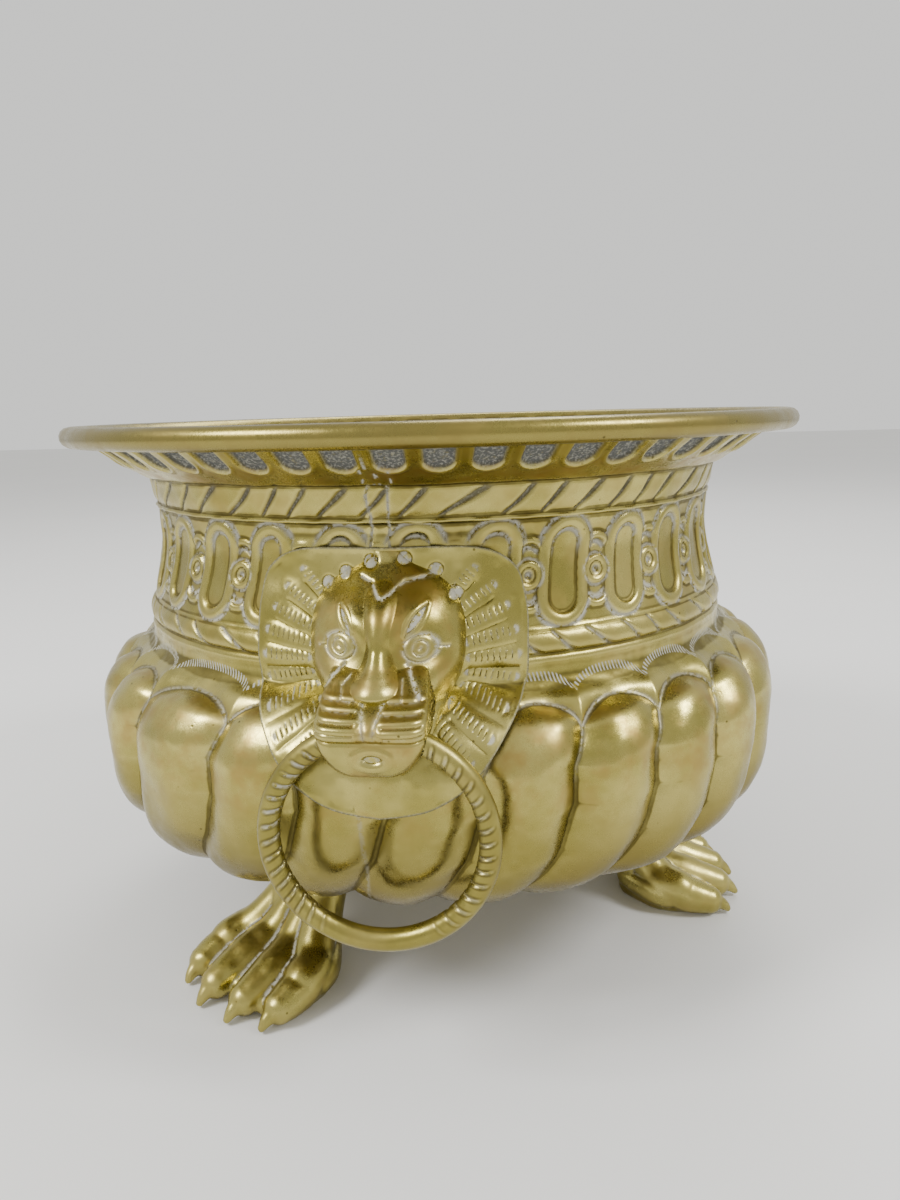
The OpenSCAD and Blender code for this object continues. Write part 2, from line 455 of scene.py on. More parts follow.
def iron_wire():
    """Dark iron with rust, for the wire inside the roll."""
    n = Nodes("iron_wire")
    rust = n.noise(RUST_SPOTS, 4.0, 0.65)
    n.put("Base Color", n.mix(n.ramp(rust, 0.4, 0.62), IRON, RUST))
    n.put("Metallic", n.ramp(rust, 0.42, 0.58, 1.0, 0.1))
    n.put("Roughness", n.ramp(rust, 0.3, 0.7, 0.45, 0.85))
    n.bump(0.6, 0.0003, rust)
    return n.material


# ------ pot wall
def wall_profile():
    """Mid-sheet paths [radius, height] from the base pan, to the roll and to its end."""
    belly = [[p[0] * BELLY_R, BASE_H + p[1] * (SHOULDER_H - BASE_H)] for p in BELLY_CURVE]
    neck = [[NECK_R + p[0], SHOULDER_H + p[1] * (RIM_Z - SHOULDER_H)] for p in NECK_CURVE]
    flare = [[RIM_R + p[0], RIM_Z + p[1]] for p in FLARE_CURVE]
    turn = np.radians(np.arange(ROLL_START, ROLL_END - 1, -3))
    roll = np.stack([RIM_R + ROLL_MID * np.cos(turn), RIM_Z + ROLL_MID * np.sin(turn)], axis=1)
    body = spline([[PAN_R, BASE_H + 1]] + belly + neck + flare + [roll[0]], 12)
    return body, np.concatenate([body, roll[1:]])


def path_lengths(path):
    """Distance along the path of each of its points."""
    return np.concatenate([[0], np.cumsum(np.hypot(*np.diff(path, axis=0).T))])


BODY_PATH, WALL_PATH = wall_profile()
WALL_LENGTHS = path_lengths(WALL_PATH)
ROLL_AT = path_lengths(BODY_PATH)[-1]


def wall_rows():
    """Distances along the profile of the mesh's rows."""
    belly_end = length_at(SHOULDER_H)
    spans = [(0, belly_end, BELLY_STEP), (belly_end, ROLL_AT, NECK_STEP),
             (ROLL_AT, WALL_LENGTHS[-1], ROLL_STEP)]
    rows = [np.linspace(a, b, int((b - a) / step), endpoint=False) for a, b, step in spans]
    return np.concatenate(rows + [WALL_LENGTHS[-1:]])


def wall_at(lengths):
    """Points and outward directions of the profile at these distances along it."""
    point = np.stack([np.interp(lengths, WALL_LENGTHS, WALL_PATH[:, k]) for k in (0, 1)], axis=1)
    ahead = np.gradient(WALL_PATH, axis=0)
    ahead = np.stack([np.interp(lengths, WALL_LENGTHS, ahead[:, k]) for k in (0, 1)], axis=1)
    ahead /= np.hypot(*ahead.T)[:, None]
    return point, np.stack([ahead[:, 1], -ahead[:, 0]], axis=1)


def wall_skin(gap):
    """The profile of the wall's outside below the roll, grown by gap."""
    point, outward = wall_at(WALL_LENGTHS[:len(BODY_PATH)])
    return point + outward * (SHEET / 2 + gap)


def length_at(z):
    """Distance along the profile of a height below the roll."""
    return np.interp(z, BODY_PATH[:, 1], WALL_LENGTHS[:len(BODY_PATH)])


def turn_between(angle, centre):
    """Signed angle from centre, from -180 to 180."""
    return (angle - centre + 180) % 360 - 180


# Lobe boundaries in front, in degrees at mid belly; the rest are spaced evenly
FRONT_EDGES = [-135.5, -116.1, -102.1, -90, -77.5, -65.1, -51.8, -38.4]
LOBE_COUNT = 26
LOBE_CAP_Z = 146.5
LOBE_CAP_H = 8.8
# How the lobes lean and how deep their creases are: [height, degrees] and [height, depth]
LOBE_DRIFT = [[50, -10], [75, -6], [95, -2], [115, 0], [132, 0.1], [150, 2.3], [162, 3.4]]
LOBE_DEPTH = [[47, 0.2], [55, 1.2], [70, 3.8], [95, 6.8], [125, 8.2], [145, 6.5], [152, 4.6],
              [157, 3.4]]
# Punched arches over the lobes, and how far from them the strokes are looked for
SCALLOP_Z = 156.6
SCALLOP_H = 4.7
CHASE_REACH = 9

# Rope bands: low and high edge, strands, lean of a strand, angle of the first one
LOWER_ROPE = [169.6, 178.8, 52, 0.30, -60.5]
UPPER_ROPE = [224.3, 235.3, 54, -0.37, -61]

# Frieze of banded ovals, and how far out it lies
OVAL_COUNT = 29
OVAL_FIRST = -61.4
FRIEZE_Z = 201
FRIEZE_R = 141

# D-shaped dents under the roll, straight at the top and round at the bottom
DENT_COUNT = 57
DENT_FIRST = -62.7
DENT_LOW_Z = 242.8
DENT_TOP_Z = 254.5
DENT_HALF = 6.1
DENTS_R = 163

# The brazed seam's two edges, [height, degrees], with teeth between two heights
SEAM_LEFT = [[48, -93], [213, -92.7], [224, -92.3], [233, -92.9], [240, -91.4]]
SEAM_RIGHT = [[160, -89.7], [218, -89.6], [238, -89.4]]
SEAM_TEETH = [236, 244]
SEAM_R = 145


def lobe_edges(rng):
    """Angles of all the lobe boundaries, once round from the first."""
    rest = LOBE_COUNT - len(FRONT_EDGES) + 2
    back = np.linspace(FRONT_EDGES[-1], FRONT_EDGES[0] + 360, rest)
    back[1:-1] += rng.uniform(-0.9, 0.9, rest - 2)
    return np.concatenate([FRONT_EDGES, back[1:]])


def lobe_place(az, z, edges):
    """Index of the lobe at each point, and the place across it from -1 to 1."""
    turned = (az - straight(LOBE_DRIFT, z) - edges[0]) % 360 + edges[0]
    index = np.clip(np.searchsorted(edges, turned, side="right") - 1, 0, LOBE_COUNT - 1)
    left, right = edges[index], edges[index + 1]
    return index, 2 * (turned - left) / (right - left) - 1


def near_mask(az, z):
    """1 under a mask plate, where the wall is beaten flatter to take it."""
    off = np.minimum(np.abs(turn_between(az, -90)), np.abs(turn_between(az, 90)))
    return smoothstep(off, 24, 16) * smoothstep(z, 118, 150)


def near_foot(az, z):
    """1 where a foot is riveted under the belly."""
    off = np.full(np.broadcast(az, z).shape, 180.0)
    for k in range(len(FOOT_NAMES)):
        off = np.minimum(off, np.abs(turn_between(az, FOOT_TURN + 120 * k)))
    return smoothstep(off, 20, 12) * smoothstep(z, 72, 60)


def painted_shade_and_reflection(z):
    """Painted dark reflection: how far the wall is darkened towards its underside."""
    return smoothstep(z, 124, 72)


def belly_relief(az, z, edges, rng):
    """Lobes with rounded tops and sharp creases. Returns relief, patina, residue, chase."""
    index, u = lobe_place(az, z, edges)
    up = np.maximum(z - LOBE_CAP_Z, 0) / LOBE_CAP_H
    reach = np.hypot(u, up)
    depth = straight(LOBE_DEPTH, z)
    depth = depth * (1 - 0.6 * near_mask(az, z)) * (1 - 0.9 * near_foot(az, z))
    crest = rng.uniform(-0.9, 0, LOBE_COUNT)[index] * smoothstep(z, 60, 100)
    inside = -depth * np.minimum(reach, 1) ** 2.3
    outside = -depth * np.exp(-np.maximum(reach - 1, 0) / 0.33)
    swell = np.where(reach < 1, inside, outside) + crest * smoothstep(reach, 1.6, 0.7)
    swell = swell * smoothstep(z, 170, 163)
    patina = smoothstep(reach, 1.3, 0.6) * smoothstep(z, 95, 138)
    crease = bell((1 - reach) * 19, 1.0) * smoothstep(z, 172, 160)
    residue = 0.45 * crease * smoothstep(z, 118, 146)
    arch = SCALLOP_Z + SCALLOP_H * (1 - np.abs(u) ** 2.4)
    chase = np.clip(length_at(z) - length_at(arch), -CHASE_REACH, CHASE_REACH)
    return swell, patina, residue, chase


def rope_band(az, z, low, high, count, lean, first):
    """A raised band of leaning strands: its relief from 0 to 1, and its grooves from 0 to 1."""
    t = (z - (low + high) / 2) / ((high - low) / 2)
    wander = 0.22 * np.sin(np.radians(7 * az)) + 0.12 * np.sin(np.radians(17 * az + 40))
    phase = count * (az - first) / 360 + lean * t + wander
    across = (phase % 1 - 0.5) * 360 / count * 2.5
    taper = 1.35 - 0.5 * t * np.sign(lean)
    groove = bell(across, taper) * smoothstep(np.abs(t), 1.1, 0.75)
    swell = np.sqrt(np.clip(1 - t * t, 0, 1))
    return swell, groove


def add_ropes(az, z, relief, residue):
    """Both rope bands, and the wavy bead under the upper one. Returns the dark grey groove fill too,
    partly painted shade.
    """
    swell, groove = rope_band(az, z, *LOWER_ROPE)
    within = smoothstep(np.abs(z - 174.2), 6.2, 4.4)
    relief = relief + within * (-1.6 + 1.6 * swell - 1.0 * groove) - 0.9 * bell(z - 168.6, 0.9)
    residue = np.maximum(residue, groove * within * 0.55)
    swell, groove = rope_band(az, z, *UPPER_ROPE)
    within = smoothstep(np.abs(z - 229.8), 7.2, 5.2)
    relief = relief + within * (-1.7 + 1.7 * swell - 1.1 * groove)
    wave = 0.6 * np.sin(np.radians(54 * az))
    relief = relief + 0.5 * bell(z - 223.6 - wave, 0.9) - 0.8 * bell(z - 236.4, 0.9)
    return relief, residue, groove * within


def ring_swell(distance, middle, half):
    """Rounded raised band around a distance."""
    return np.sqrt(np.clip(1 - ((distance - middle) / half) ** 2, 0, 1))


def ovals_relief(az, z, rng):
    """Banded ovals. Returns relief, groove and the distance outside each oval."""
    pitch = 360 / OVAL_COUNT
    index = np.floor((az - OVAL_FIRST) / pitch + 0.5).astype(int)
    jitter = rng.uniform(-0.35, 0.35, OVAL_COUNT)[index % OVAL_COUNT]
    wide = rng.uniform(-0.7, 0.5, OVAL_COUNT)[index % OVAL_COUNT]
    b = z - FRIEZE_Z
    a = (az - OVAL_FIRST - index * pitch - jitter) * np.radians(FRIEZE_R) - 0.15 * b
    oval = np.hypot(a, np.maximum(np.abs(b) - 9.8, 0)) - 11.3 - wide
    relief = -1.9 + 1.75 * ring_swell(oval, -2.5, 2.7)
    relief = relief - 0.9 * smoothstep(oval, -5.0, -7.6)
    groove = bell(oval - 0.5, 0.9) * smoothstep(np.abs(b), 7, 15)
    groove = np.maximum(groove, bell(oval + 5.4, 0.8) * smoothstep(b, 4, 14))
    return relief, groove, oval


def frieze_relief(az, z, rng):
    """Banded ovals with ringed dots and small arches between them."""
    relief, groove, oval = ovals_relief(az, z, rng)
    pitch = 360 / OVAL_COUNT
    index = np.floor((az - OVAL_FIRST) / pitch)
    b = z - FRIEZE_Z
    a = (az - OVAL_FIRST - (index + 0.5) * pitch) * np.radians(FRIEZE_R) - 0.1 * b
    dot = np.hypot(a, b + 1)
    relief = np.maximum(relief, -1.7 + 1.5 * ring_swell(dot, 4.4, 1.5))
    relief = np.where(dot < 3.1, -1.7 + 0.9 * ring_swell(dot, 2.2, 0.9), relief)
    relief = relief - 1.0 * bell(dot, 1.2)
    groove = np.maximum(groove, bell(dot, 1.5))
    groove = np.maximum(groove, 0.7 * bell(dot - 6.2, 0.6))
    for side in (-1, 1):
        lift = side * (b + 1) - 6.5
        arch = np.hypot(a, lift)
        above = smoothstep(lift, 0.5, 2.5) * smoothstep(oval, -0.5, 0.8)
        relief = np.maximum(relief, -1.9 + 1.3 * ring_swell(arch, 6.6, 1.6) * above)
        relief = relief - 0.9 * bell(arch - 4.0, 1.2) * above
        groove = np.maximum(groove, bell(arch - 4.0, 1.0) * above)
    return relief, groove


def dent_relief(az, along):
    """D-shaped punched hollows under the roll. Returns their relief and fill, which is also their
    dark grey colour, partly painted shade under the roll.
    """
    pitch = 360 / DENT_COUNT
    a = ((az - DENT_FIRST + pitch / 2) % pitch - pitch / 2) * np.radians(DENTS_R)
    b = along - length_at(DENT_LOW_Z)
    round_end = np.hypot(a, b - DENT_HALF)
    outside = np.where(b < DENT_HALF, round_end, np.abs(a)) - DENT_HALF
    top = length_at(DENT_TOP_Z)
    within = smoothstep(along, top + 1, top - 1.5)
    fill = smoothstep(outside, 0.4, -1.1) * within
    lip = bell(outside - 0.9, 0.8) * within * smoothstep(b, 9, 1)
    return -2.0 * fill + 0.45 * lip, fill


def seam_lines(az, z):
    """Grooves of the brazed, toothed seam beside the front mask."""
    low, high = SEAM_TEETH
    teeth = np.where((z > low) & (z < high), 0.9 * np.sign(np.sin((z - low) * 1.6)), 0)
    to_mm = np.radians(SEAM_R)
    left = bell((az - straight(SEAM_LEFT, z) - teeth) * to_mm, 0.55)
    right = bell((az - straight(SEAM_RIGHT, z) + teeth) * to_mm, 0.5) * smoothstep(z, 190, 200)
    quiet = 0.35 + 0.65 * smoothstep(z, 200, 214)
    return np.maximum(left, right) * smoothstep(z, 252, 246) * quiet


def hammer_work(spots, z):
    """Long dents down the lower lobes, broad waves and smaller dings."""
    long_dents = 0.9 * noise(spots * [1, 1, 0.45], 17, 11) * smoothstep(z, 150, 120)
    return long_dents + 0.3 * noise(spots, 9, 12) + 0.07 * noise(spots, 3.2, 13)


def roll_relief(az, angle, spots):
    """Dings in the roll, and slanting tool marks along its inner top."""
    slant = np.sin(np.radians(az * 340) + angle * 0.09)
    dings = 0.2 * noise(spots, 6, 14) + 0.4 * noise(spots, 30, 15)
    return dings - 0.3 * bell((angle - 112) / 16, 1.0) * smoothstep(slant, 0.2, 0.9)


def wall_finish(az, z, along, radius):
    """Relief of the wall's outside at each point, and the attributes for its material."""
    rng = np.random.default_rng(7)
    spots = np.stack([radius * np.cos(np.radians(az)), radius * np.sin(np.radians(az)), z], axis=-1)
    below_roll = np.where(along > ROLL_AT, 0, 1)

    relief, patina, residue, chase = belly_relief(az, z, lobe_edges(rng), rng)
    relief, residue, dark_fill_and_shade = add_ropes(az, z, relief, residue)
    frieze, groove = frieze_relief(az, z, rng)
    within = smoothstep(np.abs(z - FRIEZE_Z), 21.8, 20.4)
    within = within * (1 - 0.75 * near_mask(az, z) * smoothstep(z, 218, 213))
    relief = relief + within * frieze
    residue = np.maximum(residue, groove * within)
    dents, fill = dent_relief(az, along)
    under_rim = smoothstep(z, 240, 242) * below_roll
    relief = relief * below_roll + dents * under_rim
    # Dark grey fill, partly painted shade, in the upper rope's grooves and the dents under the roll
    dark_fill_and_shade = np.maximum(dark_fill_and_shade * 0.6 * below_roll, fill * under_rim)
    seam = seam_lines(az, z) * below_roll
    relief = relief - 0.45 * seam
    residue = np.maximum(residue, seam) * below_roll

    # Hammer marks on the body, and nothing prouder than the CAD's outside
    relief = relief + hammer_work(spots, z) * below_roll * smoothstep(z, 252, 244)
    relief = np.minimum(relief - 0.35, 0.05) * below_roll
    angle = np.degrees(np.arctan2(z - RIM_Z, radius - RIM_R))
    relief = relief + roll_relief(az, angle, spots) * (1 - below_roll)
    patina = np.maximum(patina, smoothstep(z, 234, 238) * smoothstep(z, 248, 242))
    patina = np.maximum(patina, 0.35 * smoothstep(z, 160, 163))
    outside = {"patina": patina, "residue": residue, "dark_fill_and_shade": dark_fill_and_shade, "chase": chase}
    # Painted dark reflection, darker towards the wall's underside
    outside["painted_shade_and_reflection"] = painted_shade_and_reflection(z)
    return relief, outside


# The inside is darkened by painted shade
INSIDE_FINISH = {"patina": 0.6, "residue": 0, "dark_fill_and_shade": 0, "chase": CHASE_REACH, "painted_shade_and_reflection": 0.7}


def build_wall(material):
    """The sheet wall, as one closed skin of a relief outside and a plainer inside."""
    lengths = wall_rows()
    point, outward = wall_at(lengths)
    az = np.linspace(-180, 180, COLUMNS, endpoint=False)[None, :]
    grid = np.zeros((len(lengths), COLUMNS))
    az, z, along = az + grid, point[:, 1:] + grid, lengths[:, None] + grid
    relief, outside = wall_finish(az, z, along, point[:, :1] + grid)

    offset = SHEET / 2 + relief
    outer = np.stack([point[:, :1] + outward[:, :1] * offset, z + outward[:, 1:] * offset])
    rows = np.arange(len(lengths) - 1, -1, -INNER_SKIP)
    if rows[-1] != 0:
        rows = np.append(rows, 0)
    inset = relief[rows] * np.where(along[rows] > ROLL_AT, 0, 1) - SHEET / 2
    inner = np.stack([point[rows, :1] + outward[rows, :1] * inset,
                      z[rows] + outward[rows, 1:] * inset])
    radius, height = np.concatenate([outer, inner], axis=1)
    turn = np.radians(np.concatenate([az, az[rows]]))
    points = np.stack([radius * np.cos(turn), radius * np.sin(turn), height], axis=-1)
    faces = quads(len(radius), COLUMNS, True, True)
    wall = mesh_object("pot_wall", points.reshape(-1, 3), faces)
    for name, values in outside.items():
        store(wall, name, np.concatenate([values, INSIDE_FINISH[name] + grid[rows]]))
    store_hollows(wall, 5, 0.22)
    place(wall, "pot", ["body_wall"], "wall_brass", material)


def build_pan(material):
    """The base pan: a thin dished disc, closed, with turning marks."""
    radius = np.linspace(0.3, PAN_R, 80)
    dish = np.interp(radius, [0, PAN_FLAT_R, PAN_R], [BASE_H, BASE_H + 0.2, BASE_H + 1])
    dish = dish + 0.05 * np.sin(radius * 1.7)
    height = np.concatenate([dish - SHEET / 2, dish[::-1] + SHEET / 2])
    radius = np.concatenate([radius, radius[::-1]])
    az = np.radians(np.linspace(-180, 180, 240, endpoint=False))
    points = np.stack([radius[:, None] * np.cos(az), radius[:, None] * np.sin(az),
                       height[:, None] + 0 * az], axis=-1)
    quiet_edge = smoothstep(radius, PAN_R, PAN_R - 6)[:, None]
    points[..., 2] += 0.35 * noise(points * [1, 1, 0], 14, 21) * quiet_edge
    pan = mesh_object("pot_pan", points.reshape(-1, 3), quads(len(radius), len(az), True, True))
    store_hollows(pan, 4, 0.2)
    store_finish(pan, 0.5)
    place(pan, "pot", ["base_pan"], "pan_brass", material)


# ------ lion mask
def mask_outline(count):
    """Outline of the plate, seen from the front, as count points round it."""
    h = MASK_HALF
    top = MASK_TOP - 0.5
    side = [[0, MASK_TOP], [0.62 * h, top], [0.89 * h, top - 7], [0.98 * h, top - 20],
            [h, top - 35], [0.98 * h, top - 53], [0.84 * h, top - 67], [0.62 * h, top - 81],
            [0.34 * h, MASK_LOW + 3], [0, MASK_LOW]]
    half = spline(side, 12)
    whole = np.concatenate([half, (half * [-1, 1])[-2:0:-1], half[:1]])
    step = path_lengths(whole)
    at = np.linspace(0, step[-1], count, endpoint=False)
    return np.stack([np.interp(at, step, whole[:, k]) for k in (0, 1)], axis=1)


# Strokes cut in the face: start, end, width, depth
FACE_STROKES = [
    [(-8.5, 202.8), (-4.2, 200.8), 1.0, 0.7], [(-4.2, 200.8), (-0.3, 196.3), 1.0, 0.7],
    [(16.2, 202.4), (8, 201.2), 1.0, 0.7], [(8, 201.2), (1.0, 196.3), 1.0, 0.7],
    [(-12.2, 174.5), (-20.5, 165.2), 0.9, 0.7], [(9.9, 174.8), (15.8, 165.5), 1.1, 0.8],
    [(-9.4, 171), (-12, 168.4), 0.7, 0.7], [(-12, 168.4), (-11, 165), 0.7, 0.7],
    [(-11, 165), (-7.8, 164.6), 0.7, 0.7], [(9.6, 169.8), (10.2, 165.6), 0.7, 0.6],
    [(-3.4, 164.6), (-1.6, 156.6), 1.2, 1.0], [(4.0, 164.6), (1.9, 157.2), 1.2, 1.0],
    [(-19.5, 180.4), (-23, 179.4), 0.8, 0.6], [(19.5, 179.9), (23.6, 179.0), 0.8, 0.6],
]
# Leaf shapes cut over the eyes: start, end, width
LEAVES = [[(-14.8, 193.9), (-10.2, 184.9), 1.5], [(16.3, 193.8), (9.4, 184.9), 2.0]]
# Side of each whisker line, and its height
WHISKERS = [[-1, 164.6], [-1, 162.2], [-1, 159.6], [-1, 157.0],
            [1, 164.2], [1, 161.6], [1, 158.9], [1, 156.5]]
PEARLS = [(-22.6, 200), (-15.5, 204), (-5.6, 208.3), (6.9, 209.3), (18.5, 204.6), (25.7, 196)]
EYES = [(-14.3, 180.6), (14.6, 179.8)]
JAW_MARK = (1.1, 148.2)
MOUTH = [(-16.5, 154.6), (17.6, 154.6)]
MUZZLE_Z = 160
MANE_Z = 172
# Angles of the mane's locks, right side and then left
MANE_LOCKS = [*range(-48, 49, 12), *range(132, 229, 12)]

# The face's forms by height: how far each stands before the pot's axis, and its half width
FACE_FRONT = [[138, 165], [144, 169], [150, 172], [158, 173], [164, 171], [170, 168.5],
              [176, 166.5], [182, 165], [188, 162.5], [194, 157.5], [200, 151], [206, 145.5],
              [212, 142]]
FACE_HALF = [[136, 9], [142, 15], [150, 19], [158, 22.5], [166, 26.5], [174, 28.6],
             [184, 28.8], [192, 27], [198, 23.5], [203, 17], [207, 9], [212, 4]]
NOSE_FRONT = [[160, 170], [164.6, 175], [165.8, 181], [168, 181], [171, 178], [175, 173.5],
              [180, 169.6], [186, 167.8], [192, 164], [198, 156], [204, 140], [212, 100]]
NOSE_HALF = [[164, 6.5], [166, 8.0], [169, 7.2], [172, 5.4], [176, 4.2], [182, 4.0],
             [190, 5.5], [198, 6]]
MUZZLE_FRONT = [[139.6, 165], [140.4, 182], [141.6, 187], [144, 189.4], [149, 190.2],
                [154, 189.8], [157, 190.4], [159.5, 188.6], [162, 185], [164.5, 180.5],
                [168, 175], [172, 168], [176, 155], [182, 120], [190, 60]]
MUZZLE_HALF = [[139, 5], [141, 9], [144, 12.8], [147, 15.4], [150.6, 17.4], [154, 18.2],
               [158, 18.6], [162, 18.6], [166, 18], [172, 17]]
MUZZLE_EDGE = 5.0


def add_eyes(face, x, z, t):
    """Eye sockets, eyeballs, cheeks and brow."""
    for side, (ex, ez) in zip((-1, 1), EYES):
        socket = np.hypot((x - ex) / 8.2, (z - ez) / 7.0)
        face = face - 2.3 * np.exp(-socket**2 * 1.3) * (t < 1)
        ball = np.hypot((x - ex) / 5.6, (z - ez) / 4.5)
        face = face + 2.1 * np.exp(-ball**4)
        brow, _ = segment_distance(x, z, (side * 2.5, 184), (side * 12, 193))
        face = face + 1.5 * bell(brow, 4.2) * (t < 1)
        cheek = np.hypot((x - side * 17) / 8, (z - 168.5) / 6.5)
        face = face + 1.7 * np.exp(-cheek**2) * (t < 0.98)
    return face


def add_muzzle(face, x, z):
    """The muzzle's pads above the mouth and the lower jaw below it."""
    wide = curve(MUZZLE_HALF, z)
    over = np.clip((np.abs(x) - (wide - MUZZLE_EDGE)) / MUZZLE_EDGE, 0, 1)
    side_drop = MUZZLE_EDGE * (1 - np.sqrt(np.clip(1 - over * over, 0, 1)))
    muzzle = np.where(np.abs(x) < wide, curve(MUZZLE_FRONT, z) - side_drop, 0)
    face = smooth_max(face, muzzle, 1.5)
    for side in (-1, 1):
        pad = np.hypot((x - side * 8.5) / 8.5, (z - 160.5) / 5.5)
        face = face + 1.1 * np.exp(-pad**2) * (np.abs(x) < wide)
    return face


def lion_surface(x, z):
    """How far the mask stands before the pot's axis, without its fine strokes, and the
    place across the face: 0 in its middle, and 1 at its edge and beyond."""
    skin = wall_skin(GAP + SHEET)
    radius = np.interp(z, skin[:, 1], skin[:, 0])
    plate = np.sqrt(radius**2 - x * x)
    t = np.clip(np.abs(x) / curve(FACE_HALF, z), 0, 1)
    lift = np.maximum(curve(FACE_FRONT, z) - radius, 0)
    face = add_eyes(plate + lift * (1 - t**2.5) ** 0.62, x, z, t)
    nose = curve(NOSE_FRONT, z) - 5.5 * np.abs(x / curve(NOSE_HALF, z)) ** 2.2
    face = add_muzzle(smooth_max(face, nose, 2.2), x, z)
    return np.maximum(plate, face), t


def face_cuts(x, z, cut, dry):
    """Strokes, leaves, whiskers, eyes and pearls."""
    for start, end, width, depth in FACE_STROKES:
        off, _ = segment_distance(x, z, start, end)
        cut = cut + depth * bell(off, width * 0.75)
        dry = np.maximum(dry, bell(off, width * 0.8))
    for start, end, width in LEAVES:
        off, along = segment_distance(x, z, start, end)
        body = width * np.sqrt(np.clip(np.sin(np.pi * np.clip(along, 0.02, 0.98)), 0, 1))
        leaf = smoothstep(off, body + 0.4, body - 0.5)
        cut = cut + 0.7 * leaf - 0.35 * bell(off - body - 0.5, 0.5)
        dry = np.maximum(dry, leaf * 0.9)
    for side, wz in WHISKERS:
        off, _ = segment_distance(x, z, (side * 5.2, wz), (side * 17, wz + 0.3))
        cut = cut + 0.85 * bell(off, 0.62) - 0.3 * bell(off - 1.25, 0.5)
        dry = np.maximum(dry, 0.45 * bell(off, 0.6))
    for ex, ez in EYES:
        lid = (np.hypot((x - ex) / 5.7, (z - ez) / 4.7) - 1) * 5.2
        iris = np.hypot(x - ex, z - ez)
        cut = cut + 0.65 * bell(lid, 0.7)
        cut = cut + 0.45 * bell(iris - 2.6, 0.45) + 0.6 * bell(iris, 0.8)
        for line in (bell(lid, 0.9), 0.8 * bell(iris - 2.6, 0.55), 0.9 * bell(iris, 0.9)):
            dry = np.maximum(dry, line)
    for px, pz in PEARLS:
        off = np.hypot(x - px, z - pz)
        cut = cut - 0.9 * bell(off, 1.7) + 0.5 * bell(off - 2.7, 0.6)
        dry = np.maximum(dry, smoothstep(off, 2.6, 1.6) * 0.9)
    return cut, dry


def mouth_cuts(x, z, cut, dry):
    """Mouth, and the oval punch mark in the lower jaw."""
    mouth, _ = segment_distance(x, z, *MOUTH)
    cut = cut + 1.5 * bell(mouth, 0.9)
    jaw = np.hypot((x - JAW_MARK[0]) / 4.3, (z - JAW_MARK[1]) / 2.3)
    cut = cut + 1.2 * smoothstep(jaw, 1.15, 0.7) - 0.4 * bell((jaw - 1.5) * 3, 1.0)
    return cut, np.maximum(dry, 0.5 * bell((jaw - 0.6) * 3, 1.0))


def mane_cuts(x, z, cut, dry, inset):
    """Locks that fan out from the face, crossed by rows of short strokes."""
    mane = smoothstep(inset, 0.5, 3)
    for k, lock in enumerate(MANE_LOCKS):
        way = (math.cos(math.radians(lock)), math.sin(math.radians(lock)))
        start = (way[0] * 31, MANE_Z + way[1] * 27)
        end = (way[0] * 49, MANE_Z + way[1] * 44)
        off, along = segment_distance(x, z, start, end)
        cut = cut - 0.55 * bell(off, 2.6) * mane
        strokes = int(math.dist(start, end) / 2.1)
        beat = np.abs((along * strokes) % 1 - 0.5) * 2
        stroke = smoothstep(off, 2.0, 1.3) * smoothstep(beat, 0.55, 0.8)
        cut = cut + 0.28 * stroke * mane
        dry = np.maximum(dry, stroke * mane * (0.85 if k % 2 else 0.6))
        off, _ = segment_distance(x, z, (start[0], start[1] - 4.2), (end[0], end[1] - 5.2))
        cut = cut + 0.5 * bell(off, 0.9) * mane
    return cut, dry


def mask_grid(around, rows):
    """Points of the mask's front in rings about the muzzle, evenly spaced along its surface.
    Returns x, z and the distance in from the plate's edge."""
    pole = np.array([0.3, MUZZLE_Z])
    rays = mask_outline(around) - pole
    fine = np.linspace(0.004, 1, 500)[:, None, None]
    spots = pole + fine * rays
    front, _ = lion_surface(spots[..., 0], spots[..., 1])
    track = np.concatenate([spots, front[..., None]], axis=-1)
    step = np.linalg.norm(np.diff(track, axis=0), axis=-1)
    step = np.concatenate([np.zeros((1, around)), np.cumsum(step, axis=0)])
    share = np.linspace(0, 1, rows)
    reach = np.stack([np.interp(share * step[-1, k], step[:, k], fine[:, 0, 0])
                      for k in range(around)], axis=1)
    spots = pole + reach[..., None] * rays
    return spots[..., 0], spots[..., 1], (1 - reach) * np.linalg.norm(rays, axis=1)


def open_ring_holes(points, faces):
    """Drops the quads inside the two side holes and rounds the points left on their edge."""
    off_y, off_z = -points[:, 1] - PIVOT_Y, points[:, 2] - PIVOT_H
    far = np.hypot(off_y, off_z)
    inside = (far < HOLE_R) & (np.abs(points[:, 0]) > HOLE_SIDE)
    stretch = np.where(inside, HOLE_R / np.maximum(far, 0.01), 1)
    points[:, 1] = -PIVOT_Y - off_y * stretch
    points[:, 2] = PIVOT_H + off_z * stretch
    return faces[~inside[faces].all(axis=1)]


